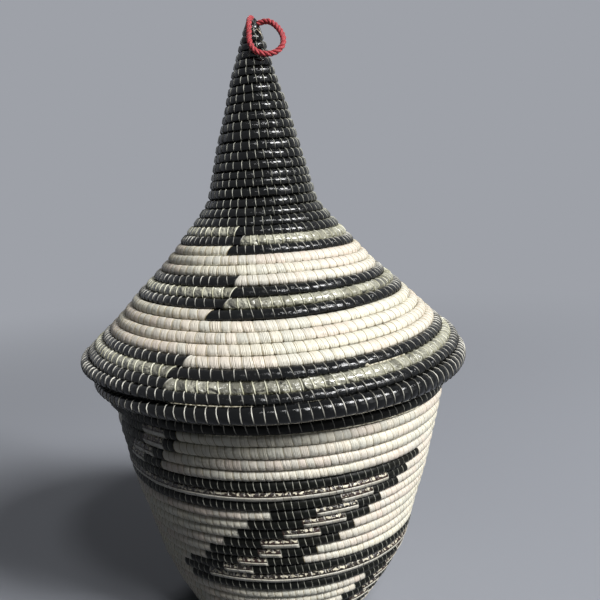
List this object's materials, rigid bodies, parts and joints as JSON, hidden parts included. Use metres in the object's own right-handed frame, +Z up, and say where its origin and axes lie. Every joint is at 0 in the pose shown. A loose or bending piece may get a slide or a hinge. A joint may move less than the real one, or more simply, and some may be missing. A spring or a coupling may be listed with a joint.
{
  "type": "lidded basket",
  "caption": "Coiled basket with a tapering patterned body, a lift-off conical lid that overhangs the mouth and ends in a tall spire, and a small cord loop at its tip.",
  "frame": {"origin": "centre of the underside of the base, on the surface that the basket stands on", "axes": "+Z up along the axis that the coils go round, -Y towards the front where the cord loop hangs, +X to the right seen from the front"},
  "size_m": [0.18, 0.18, 0.2724],
  "materials": {
    "black_strip": "glossy black covering strip, sewn with fine pale stitches",
    "ivory_strip": "smooth ivory covering strip, sewn with fine pale stitches",
    "patterned_strip": "black strip with ivory bars in a traditional stepped zigzag",
    "olive_strip": "glossy dark olive strip between black rounds",
    "plain_coil": "bare brown grass coil with pale stitches",
    "crimson_cord": "twisted two-strand crimson cord"
  },
  "bodies": {
    "basket": {"base_disc": "black_strip", "foot_round": "black_strip", "lower_wall_band": "patterned_strip", "zigzag_wall_band": "patterned_strip", "plain_wall_band": "ivory_strip", "mouth_rim": "black_strip"},
    "lid": {"lid_collar": "plain_coil", "lid_ledge_round": "plain_coil", "lid_seat_rounds": "black_strip", "brim_edge_round": "black_strip", "brim_dark_band": "black_strip", "lower_pale_band": "ivory_strip", "middle_dark_band": "black_strip", "upper_pale_band": "ivory_strip", "lid_shoulder_band": "olive_strip", "lid_spire": "black_strip", "spire_tip": "black_strip"},
    "hanging_loop": {"hanging_loop": "crimson_cord"}
  },
  "joints": [
    {"name": "lid_lift", "type": "slide", "parent": "basket", "child": "lid", "axis": [0, 0, 1], "range_m": [0, 0.16]},
    {"name": "loop_swing", "type": "hinge", "parent": "lid", "child": "hanging_loop", "pos_m": [0, 0, 0.26954], "axis": [-1, 0, 0], "range_deg": [0, 240]}
  ]
}
